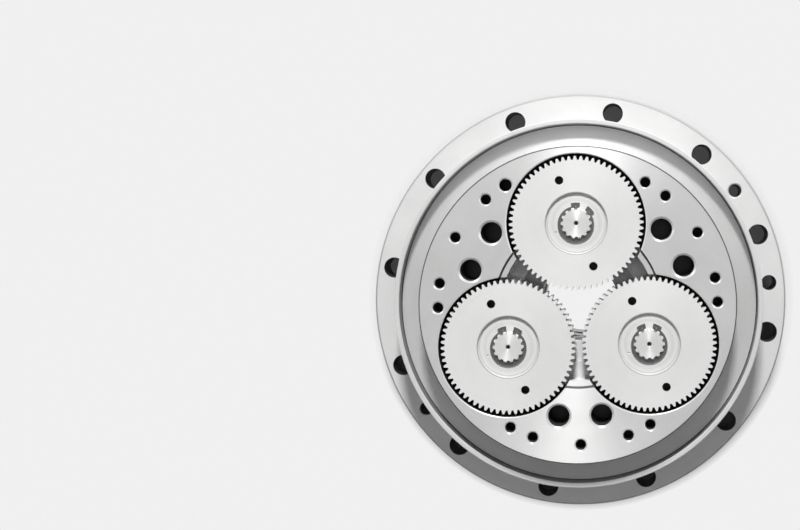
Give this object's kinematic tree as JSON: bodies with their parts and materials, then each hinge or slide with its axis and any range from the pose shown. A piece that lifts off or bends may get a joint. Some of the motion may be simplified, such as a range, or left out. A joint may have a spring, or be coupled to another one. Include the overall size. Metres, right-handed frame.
{
  "type": "cycloidal reducer",
  "caption": "Two stage cycloidal gear reducer: spur gears on crankshafts drive lobed discs in a ring of pins, which turn a flanged output face in a round case.",
  "frame": {"origin": "centre of the case's motor side end face", "axes": "+Z along the output axis, out of the output and gear side; +Y through the first crankshaft"},
  "size_m": [0.28, 0.28, 0.104],
  "materials": {
    "case_steel": "finely turned, bright",
    "output_steel": "finely turned, bright",
    "hold_steel": "finely turned, bright",
    "disc_steel": "ground faces, hardened",
    "crank_steel": "turned and ground",
    "gear_steel": "ground faces, satin",
    "bearing_steel": "ground and polished",
    "roller_steel": "polished",
    "cage_steel": "pressed, darkened",
    "cage_resin": "moulded, dark",
    "ring_steel": "phosphated, dark",
    "bolt_steel": "black oxide",
    "seal_rubber": "moulded"
  },
  "bodies": {
    "case_body": {"case": "case_steel", "ring_pins": "roller_steel", "main_bearing_lower_outer_ring": "bearing_steel", "main_bearing_upper_outer_ring": "bearing_steel", "oil_seal": "seal_rubber"},
    "carrier": {"output_shaft": "output_steel", "hold_flange": "hold_steel", "clamp_bolts": "bolt_steel", "taper_pins": "bolt_steel", "snap_rings": "ring_steel", "main_bearing_lower_inner_ring": "bearing_steel", "main_bearing_upper_inner_ring": "bearing_steel", "crank_outer_rings_lower": "bearing_steel", "crank_outer_rings_upper": "bearing_steel"},
    "disc_lower": {"cycloid_disc_lower": "disc_steel"},
    "disc_upper": {"cycloid_disc_upper": "disc_steel"},
    "main_balls_lower": {"main_bearing_lower_balls": "roller_steel", "main_bearing_lower_cage": "cage_resin"},
    "main_balls_upper": {"main_bearing_upper_balls": "roller_steel", "main_bearing_upper_cage": "cage_resin"},
    "crank_1": {"crankshaft_1": "crank_steel", "spur_gear_1": "gear_steel", "gear_circlips_1": "ring_steel", "crank_inner_rings_1": "bearing_steel"},
    "taper_rollers_1_body": {"taper_rollers_1": "roller_steel", "taper_cages_1": "cage_steel"},
    "needles_lower_1": {"needle_rollers_lower_1": "roller_steel", "needle_cage_lower_1": "cage_resin"},
    "needles_upper_1": {"needle_rollers_upper_1": "roller_steel", "needle_cage_upper_1": "cage_resin"},
    "crank_2": {"crankshaft_2": "crank_steel", "spur_gear_2": "gear_steel", "gear_circlips_2": "ring_steel", "crank_inner_rings_2": "bearing_steel"},
    "taper_rollers_2_body": {"taper_rollers_2": "roller_steel", "taper_cages_2": "cage_steel"},
    "needles_lower_2": {"needle_rollers_lower_2": "roller_steel", "needle_cage_lower_2": "cage_resin"},
    "needles_upper_2": {"needle_rollers_upper_2": "roller_steel", "needle_cage_upper_2": "cage_resin"},
    "crank_3": {"crankshaft_3": "crank_steel", "spur_gear_3": "gear_steel", "gear_circlips_3": "ring_steel", "crank_inner_rings_3": "bearing_steel"},
    "taper_rollers_3_body": {"taper_rollers_3": "roller_steel", "taper_cages_3": "cage_steel"},
    "needles_lower_3": {"needle_rollers_lower_3": "roller_steel", "needle_cage_lower_3": "cage_resin"},
    "needles_upper_3": {"needle_rollers_upper_3": "roller_steel", "needle_cage_upper_3": "cage_resin"}
  },
  "joints": [
    {"name": "output_turn", "type": "hinge", "parent": "case_body", "child": "carrier", "pos_m": [0, 0, 0], "axis": [0, 0, 1], "continuous": true},
    {"name": "main_lower_cage_turn", "type": "hinge", "parent": "case_body", "child": "main_balls_lower", "pos_m": [0, 0, 0], "axis": [0, 0, 1], "continuous": true},
    {"name": "main_upper_cage_turn", "type": "hinge", "parent": "case_body", "child": "main_balls_upper", "pos_m": [0, 0, 0], "axis": [0, 0, 1], "continuous": true},
    {"name": "crank_1_turn", "type": "hinge", "parent": "carrier", "child": "crank_1", "pos_m": [0, 0.0525, 0], "axis": [0, 0, 1], "continuous": true},
    {"name": "taper_1_turn", "type": "hinge", "parent": "carrier", "child": "taper_rollers_1_body", "pos_m": [0, 0.0525, 0], "axis": [0, 0, 1], "continuous": true},
    {"name": "needles_lower_1_turn", "type": "hinge", "parent": "crank_1", "child": "needles_lower_1", "pos_m": [0.0018, 0.0525, 0], "axis": [0, 0, 1], "continuous": true},
    {"name": "needles_upper_1_turn", "type": "hinge", "parent": "crank_1", "child": "needles_upper_1", "pos_m": [-0.0018, 0.0525, 0], "axis": [0, 0, 1], "continuous": true},
    {"name": "crank_2_turn", "type": "hinge", "parent": "carrier", "child": "crank_2", "pos_m": [-0.04547, -0.02625, 0], "axis": [0, 0, 1], "continuous": true},
    {"name": "taper_2_turn", "type": "hinge", "parent": "carrier", "child": "taper_rollers_2_body", "pos_m": [-0.04547, -0.02625, 0], "axis": [0, 0, 1], "continuous": true},
    {"name": "needles_lower_2_turn", "type": "hinge", "parent": "crank_2", "child": "needles_lower_2", "pos_m": [-0.04367, -0.02625, 0], "axis": [0, 0, 1], "continuous": true},
    {"name": "needles_upper_2_turn", "type": "hinge", "parent": "crank_2", "child": "needles_upper_2", "pos_m": [-0.04727, -0.02625, 0], "axis": [0, 0, 1], "continuous": true},
    {"name": "crank_3_turn", "type": "hinge", "parent": "carrier", "child": "crank_3", "pos_m": [0.04547, -0.02625, 0], "axis": [0, 0, 1], "continuous": true},
    {"name": "taper_3_turn", "type": "hinge", "parent": "carrier", "child": "taper_rollers_3_body", "pos_m": [0.04547, -0.02625, 0], "axis": [0, 0, 1], "continuous": true},
    {"name": "needles_lower_3_turn", "type": "hinge", "parent": "crank_3", "child": "needles_lower_3", "pos_m": [0.04727, -0.02625, 0], "axis": [0, 0, 1], "continuous": true},
    {"name": "needles_upper_3_turn", "type": "hinge", "parent": "crank_3", "child": "needles_upper_3", "pos_m": [0.04367, -0.02625, 0], "axis": [0, 0, 1], "continuous": true},
    {"name": "disc_lower_turn", "type": "hinge", "parent": "crank_1", "child": "disc_lower", "pos_m": [0.0018, 0.0525, 0], "axis": [0, 0, 1], "continuous": true},
    {"name": "disc_upper_turn", "type": "hinge", "parent": "crank_1", "child": "disc_upper", "pos_m": [-0.0018, 0.0525, 0], "axis": [0, 0, 1], "continuous": true}
  ],
  "couplings": [
    {"joint": "main_lower_cage_turn", "follows": "output_turn", "ratio": 0.48},
    {"joint": "main_upper_cage_turn", "follows": "output_turn", "ratio": 0.48},
    {"joint": "crank_1_turn", "follows": "output_turn", "ratio": -40},
    {"joint": "taper_1_turn", "follows": "output_turn", "ratio": -16.7},
    {"joint": "needles_lower_1_turn", "follows": "output_turn", "ratio": 22.2},
    {"joint": "needles_upper_1_turn", "follows": "output_turn", "ratio": 22.2},
    {"joint": "crank_2_turn", "follows": "output_turn", "ratio": -40},
    {"joint": "taper_2_turn", "follows": "output_turn", "ratio": -16.7},
    {"joint": "needles_lower_2_turn", "follows": "output_turn", "ratio": 22.2},
    {"joint": "needles_upper_2_turn", "follows": "output_turn", "ratio": 22.2},
    {"joint": "crank_3_turn", "follows": "output_turn", "ratio": -40},
    {"joint": "taper_3_turn", "follows": "output_turn", "ratio": -16.7},
    {"joint": "needles_lower_3_turn", "follows": "output_turn", "ratio": 22.2},
    {"joint": "needles_upper_3_turn", "follows": "output_turn", "ratio": 22.2},
    {"joint": "disc_lower_turn", "follows": "output_turn", "ratio": 40},
    {"joint": "disc_upper_turn", "follows": "output_turn", "ratio": 40}
  ]
}
